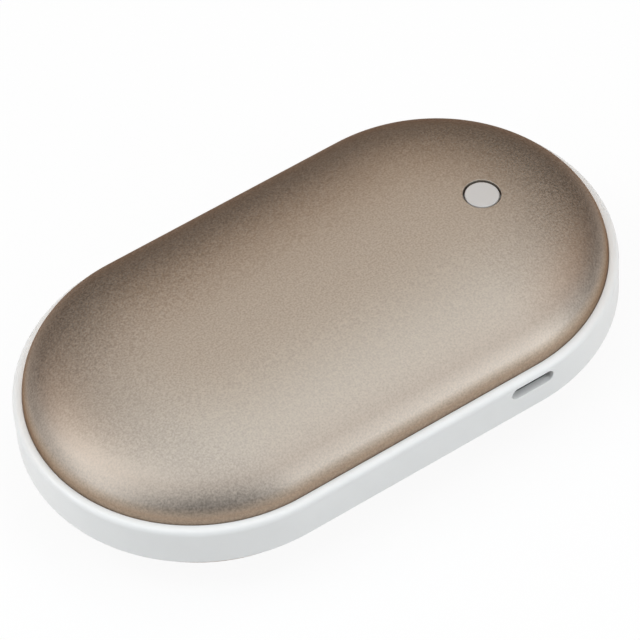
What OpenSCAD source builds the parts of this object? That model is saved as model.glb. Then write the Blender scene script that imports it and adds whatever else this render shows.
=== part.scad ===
// Rechargeable hand warmer: two domed aluminium shells on a white band,
// with two cells, a control board and a heater film behind each shell.
// Millimetres. +X is the button's end, -Y the side of the charging slot, +Z up.
// The origin is under the middle, on the surface that the hand warmer rests on.

/* [Body] */
// Length over the white band
body_l = 104.5; // [104:0.5:120]
// Width over the white band
body_w = 60; // [59:0.5:66]
// Height of the white band
band_h = 8; // [7.8:0.1:9]
// Height that each shell stands above the band
dome_h = 8.5; // [8.3:0.1:10]
// Width of the band's edge that shows outside a shell
lip_w = 1.65; // [1.4:0.05:2]
// Radius of the band's outer corners
lip_corner_r = 1; // [0.5:0.1:1.3]
// Thickness of the band from outside to inside
frame_wall = 3.6; // [3.3:0.1:3.8]
// Depth of the step in the band that a shell's rim sits in
seat_depth = 0.8; // [0.6:0.05:0.9]

/* [Shells] */
// Thickness of the aluminium
shell_t = 1; // [0.8:0.05:1.2]
// Half width of the flat land along the middle of a shell
land_half_w = 5; // [3:0.5:7]
// How square the dome's shoulder is, seen from the middle line outwards
dome_spread = 2.8; // [2.4:0.1:3.4]
// How square the dome's shoulder is, seen from the band upwards
dome_rise_power = 2.2; // [2:0.1:2.6]
// Gap between a shell's rim and the band's edge
shell_gap = 0.1; // [0.05:0.05:0.2]
// Thickness of the adhesive under a shell's rim
adhesive_t = 0.15; // [0.1:0.05:0.3]

/* [Button] */
// Distance from the band's end to the middle of the button
button_inset = 20; // [19:0.25:20.25]
// Diameter of the hole in the top shell
button_hole_d = 6.2; // [5.5:0.1:6.6]
// Gap round the button in its hole
button_gap = 0.3; // [0.15:0.05:0.4]
// Depth of the button's face below the shell's face
button_recess = 0.15; // [0.05:0.05:0.3]
// Width of the collar that keeps the button in
collar_w = 1.1; // [0.9:0.1:1.3]
// Thickness of that collar
collar_t = 0.8; // [0.5:0.1:1]
// Gap over the collar at rest
collar_gap = 0.1; // [0.05:0.05:0.2]
// Diameter of the button's stem
stem_d = 4; // [3:0.1:4.4]
// Travel of the button
button_travel = 0.3; // [0.2:0.05:0.4]

/* [Charging slot] */
// Distance from the band's end to the middle of the slot
slot_inset = 31.65; // [31.25:0.1:33.25]
// Length of the slot
slot_w = 8; // [7.6:0.1:8.6]
// Height of the slot
slot_h = 2.3; // [2.1:0.1:2.5]
// Depth of the slot's middle below the band's top edge
slot_drop = 2.3; // [2.2:0.05:2.45]
// Thickness of the band left round the slot
slot_wall = 1.6; // [1.2:0.1:1.9]

/* [Cells] */
// Diameter of a bare cell
can_d = 18; // [17.6:0.1:18]
// Gap between the cells' front strip and the button's guide, which leaves cells 65 mm long
guide_cell_gap = 0.47; // [0.3:0.01:1.5]
// Thickness of the shrink sleeve
sleeve_t = 0.2; // [0.1:0.05:0.2]
// Gap between the two cells
cell_gap = 0.3; // [0.2:0.05:0.4]
// Thickness of the positive terminal
terminal_t = 0.5; // [0.3:0.05:0.6]
// Thickness of the nickel strips
strip_t = 0.2; // [0.1:0.05:0.25]

/* [Cradle] */
// Thickness of the cradle's plate
cradle_t = 1.5; // [1.2:0.1:1.6]
// Gap between the cradle and the band
cradle_gap = 0.2; // [0.1:0.05:0.3]
// Least width of plate outside the cells' window
cradle_rim = 0.7; // [0.5:0.1:0.8]
// Gap between the cells and their window
window_gap = 0.3; // [0.2:0.05:0.4]
// Thickness of the saddles under the cells
saddle_t = 0.5; // [0.4:0.1:0.6]
// Width of a saddle
saddle_w = 1.6; // [1.2:0.1:2.5]
// Distance of a saddle from the cells' end
saddle_inset = 13; // [12:0.5:20]

/* [Heating] */
// Thickness of a heater film
film_t = 0.3; // [0.2:0.05:0.4]
// Reach of a heater film from the shell's middle line
film_reach = 20; // [18:0.5:20.5]
// Reach of a foam pad from the shell's middle line
foam_reach = 15; // [13:0.5:15.5]
// Gap between a foam pad and the height of the cells, at the pad's edge
foam_gap = 0.2; // [0.1:0.05:0.4]

/* [Board] */
// Thickness of the board
board_t = 1.2; // [1:0.1:1.3]
// Gap between the board and the band
board_gap = 0.4; // [0.3:0.05:0.8]
// Gap between the board and the cells
board_cell_gap = 0.4; // [0.3:0.05:0.6]
// Width of the charging socket
socket_w = 7.5; // [7.2:0.1:7.6]
// Height of the charging socket
socket_h = 2.45; // [2.3:0.05:2.6]
// Depth of the charging socket
socket_l = 5.6; // [5:0.1:6]
// Thickness of the socket's sheet steel
socket_t = 0.25; // [0.2:0.05:0.3]
// Side of the square push switch
switch_w = 4.5; // [4:0.1:4.6]
// Height of the push switch's case
switch_h = 2.8; // [2.6:0.1:3.2]
// Diameter of the switch's plunger
plunger_d = 2.4; // [2:0.1:2.5]
// Height that the plunger stands above its case
plunger_out = 1; // [0.8:0.1:1.4]
// Outer diameter of the button's guide
guide_d = 10; // [9.8:0.1:10.2]
// Wall of the button's guide
guide_t = 0.7; // [0.6:0.05:0.8]

/* [Fasteners and leads] */
// Diameter of the screws' thread
screw_d = 2; // [1.8:0.1:2.2]
// Diameter of the screws' heads
screw_head_d = 3.6; // [3.2:0.1:4]
// Height of the screws' heads
screw_head_h = 1.2; // [1:0.1:1.4]
// Bite of a thread in its plastic, on the diameter
thread_bite = 0.2; // [0.1:0.05:0.3]
// Play of a screw in the piece that it holds, on the diameter
screw_play = 0.2; // [0.1:0.05:0.3]
// Diameter of the cells' leads
lead_d = 1.4; // [1:0.1:1.6]
// Diameter of the heaters' and the sensor's leads
thin_lead_d = 0.9; // [0.6:0.1:1]

/* [Hidden] */
$fn = 96;

champagne = "#a8927f";
white_plastic = "#e8e9e8";
milky = "#cfccc6";
black_plastic = "#26272a";
board_green = "#1f6b45";
nickel = "#b9bbbd";
steel = "#9fa3a6";
amber_film = "#b5651d";
foam_grey = "#55585c";

// How far a cut runs past the face that it opens
past = 1;

// The body's outline and levels
outer_r = body_w / 2;
straight_l = body_l - body_w;
end_x = straight_l / 2;
button_x = body_l / 2 - button_inset;
slot_x = body_l / 2 - slot_inset;
shell_r = outer_r - lip_w;
rim_h = seat_depth - adhesive_t;
ring_in_r = outer_r - frame_wall;
total_h = band_h + 2 * dome_h;
mid_z = total_h / 2;
band_top_z = dome_h + band_h;
seat_bottom_z = dome_h + seat_depth;

// The dome is a superellipse from its flat land down to its rim, in facets of equal turn
dome_facets = 30;
land_turn = asin(pow(land_half_w / shell_r, dome_spread / 2));
function dome_point(inset, turn) = [
    (shell_r - inset) * pow(sin(turn), 2 / dome_spread),
    (dome_h - inset) * pow(cos(turn), 2 / dome_rise_power)
];

// Height of the dome above the band at a distance r from the middle line, under a skin of inset
function dome_z(r, inset) =
    (dome_h - inset) * pow(1 - pow(max(r, 0) / (shell_r - inset), dome_spread), 1 / dome_rise_power);

// Distance of a point from the straight middle line that the outline goes round
function from_middle(x, y) = norm([max(abs(x) - end_x, 0), y]);

// The cells fill the room between the cradle's back rim and the button's guide
sleeve_r = can_d / 2 + sleeve_t;
cell_y = sleeve_r + cell_gap / 2;
window_half_w = cell_y + sleeve_r + window_gap;
cradle_r = ring_in_r - cradle_gap;
window_corner_x = end_x + sqrt(pow(cradle_r - cradle_rim, 2) - pow(window_half_w, 2));
cell_back_x = window_gap + strip_t - window_corner_x;
strip_front_x = button_x - guide_d / 2 - guide_cell_gap;
cell_front_x = strip_front_x - strip_t - terminal_t;
cell_l = cell_front_x - cell_back_x;
strip_half_w = 13;
strip_half_h = 3.5;
terminal_d = 8;
insulator_inset = 0.5;

// The cradle
cradle_z = seat_bottom_z;
cradle_top_z = cradle_z + cradle_t;
saddle_bottom_z = mid_z - sleeve_r - saddle_t;
lug_r = 2.5;
lug_inset = 5.8;
lug_y = outer_r - lug_inset;
lug_h = 4;
plate_bite = 0.8;

// The heater films and foam pads lie one on the other inside each shell
film_skin = shell_t + film_t;
foam_t = band_h / 2 + dome_z(foam_reach, film_skin) - sleeve_r - foam_gap;

// The charging slot and the board that carries its socket
slot_z = band_top_z - slot_drop;
socket_mouth_y = -(outer_r - slot_wall);
socket_clear = 0.2;
board_top_z = slot_z - socket_h / 2;
board_z = board_top_z - board_t;
board_r = ring_in_r - board_gap;
board_x = strip_front_x + board_cell_gap;
arm_margin = 2.4;
arm_start_x = slot_x - socket_w / 2 - arm_margin;
arm_y = -(window_half_w + board_cell_gap);
lug_arm_gap = 3.5;
lug_xs = [-end_x, arm_start_x - lug_arm_gap - lug_r];
tongue_w = socket_w / 2;
tongue_t = 0.6;
tongue_room = 0.25;
tongue_z = slot_z + socket_h / 2 - socket_t - tongue_room - tongue_t;
tongue_l = socket_l - socket_t - 0.9;
tongue_back_y = socket_mouth_y + socket_clear / 2 + socket_l - socket_t;

// The board's posts, in the cradle: one on each side of the button and one at the end
post_r = 2.2;
side_post_dx = -1.25;
side_post_y = 17;
end_post_dx = 12.4;
post_xy = [
    [button_x + side_post_dx, side_post_y],
    [button_x + side_post_dx, -side_post_y],
    [button_x + end_post_dx, 0]
];

// The button and its switch
button_r = from_middle(button_x, 0);
cap_d = button_hole_d - 2 * button_gap;
collar_d = cap_d + 2 * collar_w;
collar_top_z = band_top_z + dome_z(button_r + collar_d / 2, shell_t) - collar_gap;
collar_z = collar_top_z - collar_t;
plunger_top_z = board_top_z + switch_h + plunger_out;
switch_floor_t = 0.6;
switch_cover_t = 0.5;
switch_wall = 0.55;
plunger_play = 0.2;
plunger_slack = 0.05;
cavity_d = switch_w - 2 * switch_wall;
plunger_foot_d = cavity_d - 0.3;
plunger_foot_t = 0.5;
plunger_nose_d = plunger_d / 2;
cavity_top_z = board_top_z + switch_h - switch_cover_t;
foot_top_z = cavity_top_z - plunger_slack;
dome_t = 0.1;
dome_d = cavity_d - 0.2;
dome_rise = 0.55;
dome_base_z = board_top_z + switch_floor_t;
guide_clear = 0.3;
guide_top_z = collar_z - button_travel - guide_clear;
stem_play = 0.16;
hub_t = 1.2;
hub_wall = 0.9;
hub_drop = 1;
hub_z = guide_top_z - hub_drop - hub_t;
film_clear = 0.5;

// What stands on the board, measured from the button, with sizes along X, Y and Z
chip_at = [0.3, 10.8];
chip_size = [5, 6, 1.5];
inductor_at = [0.3, -10.6];
inductor_size = [6, 6, 3];
transistor_dx = 6.2;
transistor_ys = [11, 14.8];
transistor_size = [3, 2.9, 1.1];
capacitor_at = [5.4, -10.4];
capacitor_size = [2, 1.2, 0.9];
capacitor_count = 4;
led_size = [0.6, 1.1, 0.6];
heater_socket_size = [3.6, 5, 2.6];
heater_plug_size = [3, 4.2, 2.2];
heater_socket_dx = 9.8;
heater_socket_y = 7.2;
plug_top_z = board_top_z + heater_socket_size[2] + heater_plug_size[2];

// The cells' leads land on the board between the strip and the button's guide
pad_x = board_x + 1;
pad_y = 6.2;

// The heaters' leads meet the films just outside the foam, and the lower pair comes up
// through a hole in the cradle and the board
lead_pitch = 1.3;
lead_clear = 0.8;
heater_pad_x = end_x + foam_reach + lead_clear;
hole_dx = 5.6;
hole_x = button_x + hole_dx;
hole_y = -heater_socket_y;
wire_hole_d = 3.4;

// The sensor is a bead that lies against the top film, beside the button
bead_r = 0.9;
bead_l = 3;
bead_tail_y = 0.6;
bead_x = max(button_x + guide_d / 2, end_x + foam_reach) + 2 * film_clear + bead_l / 2;
bead_z = band_top_z + dome_z(from_middle(bead_x + bead_l / 2, bead_r), film_skin) - 1.2 * bead_r;

// Half section of everything under the dome, with a skin of inset taken off
module dome_area(inset) {
    step = (90 - land_turn) / dome_facets;
    polygon([
        [0, 0], [0, dome_h - inset], [land_half_w, dome_h - inset],
        for (i = [1:dome_facets - 1]) dome_point(inset, land_turn + i * step),
        [shell_r - inset, 0]
    ]);
}

// The same with a straight rim below it
module shell_area(inset, depth) {
    dome_area(inset);
    translate([0, -depth]) square([shell_r - inset, depth]);
}

// Half section of a layer that lies under the dome and ends at reach
module layer_area(skin, thickness, reach) {
    intersection() {
        difference() {
            dome_area(skin);
            dome_area(skin + thickness);
        }
        square([reach, dome_h]);
    }
}

// Carries a half section round the body: two half turns and the straight between them
module round_body() {
    translate([end_x, 0, 0]) rotate([0, 0, -90]) rotate_extrude(angle = 180) children();
    translate([-end_x, 0, 0]) rotate([0, 0, 90]) rotate_extrude(angle = 180) children();
    rotate([90, 0, 90]) linear_extrude(height = straight_l, center = true) {
        children();
        mirror([1, 0]) children();
    }
}

// Puts what is drawn for the top on the top, or turned over on the bottom
module on_top() {
    translate([0, 0, band_top_z]) children();
}

module on_bottom() {
    translate([0, 0, dome_h]) mirror([0, 0, 1]) children();
}

module shell_blank() {
    round_body() difference() {
        shell_area(0, rim_h);
        shell_area(shell_t, rim_h + past);
    }
}

// A block on the board, by the middle of its foot
module block(x, y, z, size) {
    translate([x - size[0] / 2, y - size[1] / 2, z]) cube(size);
}

// A flat plate with the body's outline
module stadium(radius, height) {
    for (side = [1, -1]) translate([side * end_x, 0, 0]) cylinder(r = radius, h = height);
    translate([-end_x, -radius, 0]) cube([straight_l, 2 * radius, height]);
}

// A round-ended bar lying along X, used for the slot
module round_bar(length, height, depth) {
    rotate([90, 0, 0]) linear_extrude(height = depth, center = true) {
        square([length - height, height], center = true);
        for (side = [1, -1]) translate([side * (length - height) / 2, 0]) circle(d = height);
    }
}

// A screw with its head's underside at z = 0 and its thread going down
module screw(length) {
    recess_w = screw_head_d / 7;
    recess_l = screw_head_d * 0.6;
    difference() {
        union() {
            cylinder(d = screw_head_d, h = screw_head_h);
            translate([0, 0, -length]) cylinder(d = screw_d, h = length + screw_head_h / 2);
        }
        for (turn = [0, 90]) rotate([0, 0, turn])
            translate([-recess_l / 2, -recess_w / 2, screw_head_h / 2])
                cube([recess_l, recess_w, screw_head_h]);
    }
}

// Points of a smooth curve that leaves start and meets end along the given directions
function curve(start, leave, end, arrive, steps) = [
    for (i = [0:steps])
        let (t = i / steps, s = 1 - t)
            pow(s, 3) * start + 3 * s * s * t * (start + leave)
            + 3 * s * t * t * (end - arrive) + pow(t, 3) * end
];

function unit(v) = v / norm(v);

// A round lead along a list of points that never runs along Y. Its ends are cut square to
// the directions in which it leaves and arrives
module lead(points, d, leave, arrive) {
    sides = 8;
    count = len(points);
    function along(i) =
        unit(i == 0 ? leave : i == count - 1 ? arrive : points[i + 1] - points[i - 1]);
    function ring(i) =
        let (forward = along(i), out = unit(cross(forward, [0, 1, 0])), side = cross(forward, out))
            [for (k = [0:sides - 1])
                points[i] + d / 2 * (cos(360 * k / sides) * out + sin(360 * k / sides) * side)];
    rings = [for (i = [0:count - 1]) each ring(i)];
    walls = [
        for (i = [0:count - 2], k = [0:sides - 1])
            let (a = i * sides + k, b = i * sides + (k + 1) % sides)
                [a, a + sides, b + sides, b]
    ];
    caps = [
        [for (k = [0:sides - 1]) k],
        [for (k = [sides - 1:-1:0]) (count - 1) * sides + k]
    ];
    polyhedron(points = rings, faces = concat(walls, caps));
}

module top_shell() {
    color(champagne) difference() {
        on_top() shell_blank();
        translate([button_x, 0, collar_z]) cylinder(d = button_hole_d, h = dome_h);
    }
}

module bottom_shell() {
    color(champagne) on_bottom() shell_blank();
}

// Half section of the band, centred on its own height
module band_area() {
    difference() {
        union() {
            translate([ring_in_r, -band_h / 2])
                square([frame_wall - lip_corner_r, band_h]);
            translate([ring_in_r, lip_corner_r - band_h / 2])
                square([frame_wall, band_h - 2 * lip_corner_r]);
            for (side = [1, -1])
                translate([outer_r - lip_corner_r, side * (band_h / 2 - lip_corner_r)])
                    circle(lip_corner_r);
        }
        for (side = [0, 1]) mirror([0, side])
            translate([ring_in_r - past, band_h / 2 - seat_depth])
                square([shell_r + shell_gap - ring_in_r + past, seat_depth + past]);
    }
}

module at_lugs() {
    for (x = lug_xs, side = [1, -1]) translate([x, side * lug_y, 0]) children();
}

module middle_frame() {
    pocket_w = socket_w + 2 * socket_clear;
    pocket_h = socket_h + 2 * socket_clear;
    color(white_plastic) difference() {
        union() {
            translate([0, 0, mid_z]) round_body() band_area();
            for (x = lug_xs, side = [1, -1]) translate([x, side * lug_y, cradle_top_z]) {
                cylinder(r = lug_r, h = lug_h);
                translate([-lug_r, side > 0 ? 0 : lug_y - ring_in_r - past / 2, 0])
                    cube([2 * lug_r, ring_in_r - lug_y + past / 2, lug_h]);
            }
        }
        translate([slot_x, -outer_r, slot_z]) round_bar(slot_w, slot_h, 2 * frame_wall);
        block(slot_x, socket_mouth_y + frame_wall / 2, slot_z - pocket_h / 2,
            [pocket_w, frame_wall, pocket_h]);
        at_lugs() translate([0, 0, cradle_top_z - past])
            cylinder(d = screw_d - thread_bite, h = lug_h);
    }
}

module adhesive() {
    translate([0, 0, -seat_depth]) round_body()
        translate([shell_r - shell_t, 0]) square([shell_t, adhesive_t]);
}

module top_adhesive() {
    color(foam_grey) on_top() adhesive();
}

module bottom_adhesive() {
    color(foam_grey) on_bottom() adhesive();
}

// The cap follows the shell's face, so it is cut from the dome under a skin as thick as the recess
module power_button() {
    color(milky) {
        intersection() {
            on_top() translate([end_x, 0, 0]) rotate_extrude() dome_area(button_recess);
            translate([button_x, 0, collar_z]) cylinder(d = cap_d, h = dome_h);
        }
        translate([button_x, 0, collar_z]) cylinder(d = collar_d, h = collar_t);
        translate([button_x, 0, plunger_top_z])
            cylinder(d = stem_d, h = collar_z - plunger_top_z);
    }
}

module button_guide() {
    inner_r = guide_d / 2 - guide_t;
    hub_bore_d = stem_d + stem_play;
    color(black_plastic) translate([button_x, 0, 0]) {
        translate([0, 0, board_top_z]) difference() {
            cylinder(d = guide_d, h = guide_top_z - board_top_z);
            translate([0, 0, -past]) cylinder(r = inner_r, h = guide_top_z);
        }
        difference() {
            translate([0, 0, hub_z]) {
                cylinder(d = hub_bore_d + 2 * hub_wall, h = hub_t);
                for (turn = [90, 210, 330]) rotate([0, 0, turn])
                    translate([0, -hub_t / 2, 0]) cube([inner_r + guide_t / 2, hub_t, hub_t]);
            }
            translate([0, 0, hub_z - past]) cylinder(d = hub_bore_d, h = hub_t + 2 * past);
        }
    }
}

module heater_film() {
    round_body() layer_area(shell_t, film_t, film_reach);
}

// The button passes through the top film and pad
module top_opening() {
    translate([button_x, 0, mid_z]) cylinder(d = guide_d + 2 * film_clear, h = total_h);
}

module top_heater_film() {
    color(amber_film) difference() {
        on_top() heater_film();
        top_opening();
    }
}

module bottom_heater_film() {
    color(amber_film) on_bottom() heater_film();
}

module top_foam_pad() {
    color(foam_grey) difference() {
        on_top() round_body() layer_area(film_skin, foam_t, foam_reach);
        top_opening();
    }
}

module bottom_foam_pad() {
    color(foam_grey) on_bottom() round_body() layer_area(film_skin, foam_t, foam_reach);
}

// A saddle holds both cells from below and is tied to the plate at its ends
module saddle() {
    saddle_r = sleeve_r + saddle_t;
    tie_w = 3;
    tie_h = 2 * cradle_t;
    intersection() {
        for (side = [1, -1]) translate([0, side * cell_y, mid_z])
            rotate([0, 90, 0]) cylinder(r = saddle_r, h = saddle_w);
        translate([0, -window_half_w, saddle_bottom_z])
            cube([saddle_w, 2 * window_half_w, cradle_top_z - saddle_bottom_z]);
    }
    for (side = [0, 1]) mirror([0, side, 0])
        translate([0, window_half_w + plate_bite - tie_w, cradle_top_z - tie_h])
            cube([saddle_w, tie_w, tie_h]);
}

module battery_cradle() {
    color(black_plastic) difference() {
        union() {
            translate([0, 0, cradle_z]) difference() {
                stadium(cradle_r, cradle_t);
                translate([-window_corner_x, -window_half_w, -past])
                    cube([strip_front_x + window_gap + window_corner_x,
                        2 * window_half_w, cradle_t + 2 * past]);
            }
            for (x = [cell_back_x + saddle_inset, cell_front_x - saddle_inset - saddle_w])
                translate([x, 0, 0]) saddle();
            for (at = post_xy) translate([at[0], at[1], cradle_z])
                cylinder(r = post_r, h = board_z - cradle_z);
        }
        for (side = [1, -1]) translate([cell_back_x - past, side * cell_y, mid_z])
            rotate([0, 90, 0]) cylinder(r = sleeve_r, h = cell_l + 2 * past);
        for (at = post_xy) translate([at[0], at[1], 0])
            cylinder(d = screw_d - thread_bite, h = total_h);
        at_lugs() cylinder(d = screw_d + screw_play, h = total_h);
        translate([hole_x, hole_y, 0]) cylinder(d = wire_hole_d, h = total_h);
    }
}

module cell(side) {
    translate([cell_back_x, side * cell_y, mid_z]) rotate([0, 90, 0])
        cylinder(d = can_d, h = cell_l);
}

module cell_left() {
    color(nickel) cell(1);
}

module cell_right() {
    color(nickel) cell(-1);
}

module cell_sleeves() {
    color("#2f6fb0") for (side = [1, -1])
        translate([cell_back_x, side * cell_y, mid_z]) rotate([0, 90, 0]) difference() {
            cylinder(r = sleeve_r, h = cell_l);
            translate([0, 0, -past]) cylinder(d = can_d, h = cell_l + 2 * past);
        }
}

module cell_terminals() {
    color(nickel) for (side = [1, -1])
        translate([cell_front_x, side * cell_y, mid_z]) rotate([0, 90, 0])
            cylinder(d = terminal_d, h = terminal_t);
}

module cell_insulators() {
    color("#d8cfae") for (side = [1, -1])
        translate([cell_front_x, side * cell_y, mid_z]) rotate([0, 90, 0]) difference() {
            cylinder(d = can_d - 2 * insulator_inset, h = terminal_t / 2);
            translate([0, 0, -past]) cylinder(d = terminal_d + insulator_inset, h = 3 * past);
        }
}

module nickel_strips() {
    color(nickel) for (x = [cell_back_x - strip_t, cell_front_x + terminal_t])
        translate([x, -strip_half_w, mid_z - strip_half_h])
            cube([strip_t, 2 * strip_half_w, 2 * strip_half_h]);
}

module positive_lead() {
    start = [strip_front_x, pad_y, mid_z + strip_half_h - lead_d];
    end = [pad_x, pad_y, board_top_z];
    out = [end[0] - start[0], 0, 0];
    down = [0, 0, end[2] - start[2]];
    color("#b3261e") lead(curve(start, out, end, down, 8), lead_d, out, down);
}

// It leaves the far strip, lies in the valley over the cells, crosses the front end of one
// and comes down on the board. Its bends are as wide as its own thickness asks for
module negative_lead() {
    back = lead_d * [-2.4, 0, 0];
    level = lead_d * [3.3, 0, 0];
    aside = lead_d * [1.1, -0.4, 0];
    down = lead_d * [0, 0, -2.9];
    valley_z = mid_z + sleeve_r - 1.6 * lead_d;
    start = [cell_back_x - strip_t, 0, mid_z + lead_d];
    rise = [cell_back_x + 2 * lead_d, 0, valley_z];
    dip = [cell_front_x - 5.4 * lead_d, 0, valley_z];
    over_dy = 3.2 * lead_d;
    over_dz = sqrt(pow(sleeve_r + 0.6 * lead_d, 2) - pow(over_dy, 2));
    over = [cell_front_x, over_dy - cell_y, mid_z + over_dz];
    end = [pad_x, -pad_y, board_top_z];
    drop = curve(over, aside, end, down, 10);
    color("#1c1c1e") lead(concat(
        curve(start, back, rise, level, 12),
        curve(dip, level, over, aside, 8),
        [for (i = [1:10]) drop[i]]
    ), lead_d, back, down);
}

module board_outline() {
    intersection() {
        stadium(board_r, board_t);
        union() {
            translate([board_x, -outer_r, 0]) cube([outer_r, 2 * outer_r, board_t]);
            translate([arm_start_x, -outer_r, 0])
                cube([board_x - arm_start_x + past, outer_r + arm_y, board_t]);
        }
    }
}

module main_board() {
    color(board_green) translate([0, 0, board_z]) difference() {
        board_outline();
        for (at = post_xy) translate([at[0], at[1], -past])
            cylinder(d = screw_d + screw_play, h = board_t + 2 * past);
        translate([hole_x, hole_y, -past])
            cylinder(d = wire_hole_d, h = board_t + 2 * past);
    }
}

// Section of the charging socket: square above, drawn in below
module socket_area(inset) {
    half_w = socket_w / 2 - inset;
    half_h = socket_h / 2 - inset;
    shoulder_z = -socket_h / 20;
    foot_half_w = half_w - socket_h / 3;
    polygon([
        [-half_w, half_h], [half_w, half_h], [half_w, shoulder_z],
        [foot_half_w, -half_h], [-foot_half_w, -half_h], [-half_w, shoulder_z]
    ]);
}

module usb_shell() {
    mouth_y = socket_mouth_y + socket_clear / 2;
    color(steel) translate([slot_x, mouth_y + socket_l, slot_z]) rotate([90, 0, 0])
        difference() {
            linear_extrude(height = socket_l) socket_area(0);
            translate([0, 0, socket_t]) linear_extrude(height = socket_l) socket_area(socket_t);
        }
}

module usb_tongue() {
    color(black_plastic) translate([slot_x - tongue_w / 2, tongue_back_y - tongue_l, tongue_z])
        cube([tongue_w, tongue_l, tongue_t]);
}

module usb_contacts() {
    pins = 5;
    pitch = tongue_w / (pins + 0.6);
    contact_t = 0.12;
    contact_inset = 0.35;
    color("#c9a24a") for (pin = [0:pins - 1])
        block(slot_x + (pin - (pins - 1) / 2) * pitch, tongue_back_y - tongue_l / 2,
            tongue_z - contact_t, [pitch / 2, tongue_l - 2 * contact_inset, contact_t]);
}

module switch_case() {
    color(black_plastic) difference() {
        block(button_x, 0, board_top_z, [switch_w, switch_w, switch_h]);
        translate([button_x, 0, dome_base_z])
            cylinder(d = cavity_d, h = cavity_top_z - dome_base_z);
        translate([button_x, 0, dome_base_z]) cylinder(d = plunger_d + plunger_play, h = switch_h);
    }
}

module switch_plunger() {
    nose_z = dome_base_z + dome_rise + plunger_slack / 2;
    foot_z = foot_top_z - plunger_foot_t;
    color("#d9d4c8") translate([button_x, 0, 0]) {
        translate([0, 0, foot_z]) cylinder(d = plunger_foot_d, h = plunger_foot_t);
        translate([0, 0, foot_z]) cylinder(d = plunger_d, h = plunger_top_z - foot_z);
        translate([0, 0, nose_z]) cylinder(d = plunger_nose_d, h = foot_top_z - nose_z);
    }
}

// A thin steel cap of a sphere, which snaps under the plunger
module switch_dome() {
    ball_r = (pow(dome_d / 2, 2) + pow(dome_rise, 2)) / (2 * dome_rise);
    color(steel) translate([button_x, 0, dome_base_z]) rotate_extrude()
        intersection() {
            translate([0, dome_rise - ball_r]) difference() {
                circle(ball_r);
                circle(ball_r - dome_t);
            }
            square([dome_d, dome_rise]);
        }
}

// They light the button's rim from below
module indicator_leds() {
    ring_r = guide_d / 2 - guide_t - led_size[0];
    color("#f4f0d8") for (turn = [0:90:270])
        translate([button_x, 0, 0]) rotate([0, 0, turn])
            block(ring_r, 0, board_top_z, led_size);
}

module controller_chip() {
    color(black_plastic) block(button_x + chip_at[0], chip_at[1], board_top_z, chip_size);
}

module heater_transistors() {
    color(black_plastic) for (y = transistor_ys)
        block(button_x + transistor_dx, y, board_top_z, transistor_size);
}

module boost_inductor() {
    color("#3a3d42")
        block(button_x + inductor_at[0], inductor_at[1], board_top_z, inductor_size);
}

module board_capacitors() {
    pitch = 2 * capacitor_size[1];
    color("#b08d57") for (i = [0:capacitor_count - 1])
        block(button_x + capacitor_at[0], capacitor_at[1] - i * pitch, board_top_z,
            capacitor_size);
}

module heater_sockets() {
    color(white_plastic) for (side = [1, -1])
        block(button_x + heater_socket_dx, side * heater_socket_y, board_top_z,
            heater_socket_size);
}

module heater_plugs() {
    color("#ded9cc") for (side = [1, -1])
        block(button_x + heater_socket_dx, side * heater_socket_y,
            board_top_z + heater_socket_size[2], heater_plug_size);
}

// Each lead is soldered into the film above it, at the film's own height there
module top_heater_leads() {
    color("#b3261e") for (side = [1, -1]) {
        y = heater_socket_y + side * lead_pitch / 2;
        film_z = band_top_z + dome_z(from_middle(heater_pad_x, y), film_skin);
        start = [button_x + heater_socket_dx, y, plug_top_z];
        end = [heater_pad_x, y, film_z + film_t / 4];
        up = [0, 0, (end[2] - start[2]) / 3];
        lead(curve(start, up, end, up, 8), thin_lead_d, up, up);
    }
}

// They rise through the hole in the board and loop over into the plug beside it
module bottom_heater_leads() {
    reach = heater_socket_dx - hole_dx;
    loop = [0, 0, 1.3 * reach];
    down = [0, 0, -0.7 * reach];
    color("#1c1c1e") for (side = [1, -1]) {
        y = hole_y + side * lead_pitch / 2;
        film_z = dome_h - dome_z(from_middle(heater_pad_x, y), film_skin);
        start = [heater_pad_x, y, film_z - film_t / 4];
        below = [hole_x, y, board_z];
        above = [hole_x, y, board_top_z + board_t];
        end = [button_x + heater_socket_dx, y, plug_top_z];
        up = [0, 0, (below[2] - start[2]) / 3];
        lead(concat(curve(start, up, below, up, 8), curve(above, loop, end, down, 12)),
            thin_lead_d, up, down);
    }
}

module thermistor() {
    color("#2b2d30") translate([bead_x, 0, bead_z]) rotate([0, 90, 0])
        cylinder(r = bead_r, h = bead_l, center = true);
}

module thermistor_leads() {
    color("#c8c2b0") for (side = [1, -1]) {
        start = [bead_x + bead_l / 4, side * bead_tail_y, board_top_z];
        end = [bead_x, side * bead_tail_y, bead_z - bead_r / 2];
        up = [0, 0, (end[2] - start[2]) / 3];
        lead(curve(start, up, end, up, 8), thin_lead_d / 2, up, up);
    }
}

module cradle_screws() {
    color(steel) at_lugs() translate([0, 0, cradle_z]) mirror([0, 0, 1])
        screw(cradle_t + lug_h - past);
}

module board_screws() {
    color(steel) for (at = post_xy) translate([at[0], at[1], board_top_z])
        screw(board_top_z - cradle_z);
}

top_shell();
bottom_shell();
middle_frame();
power_button();
button_guide();
top_adhesive();
bottom_adhesive();
top_heater_film();
bottom_heater_film();
top_foam_pad();
bottom_foam_pad();
battery_cradle();
cell_left();
cell_right();
cell_sleeves();
cell_terminals();
cell_insulators();
nickel_strips();
positive_lead();
negative_lead();
main_board();
usb_shell();
usb_tongue();
usb_contacts();
switch_case();
switch_plunger();
switch_dome();
indicator_leds();
controller_chip();
heater_transistors();
boost_inductor();
board_capacitors();
heater_sockets();
heater_plugs();
top_heater_leads();
bottom_heater_leads();
thermistor();
thermistor_leads();
cradle_screws();
board_screws();
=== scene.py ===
"""Looks of a rechargeable hand warmer: two anodised shells on a white band, with a round button
and a charging slot. Everything is in metres, in the part's own frame."""

import math

import bpy
from mathutils import Matrix, Vector


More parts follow.
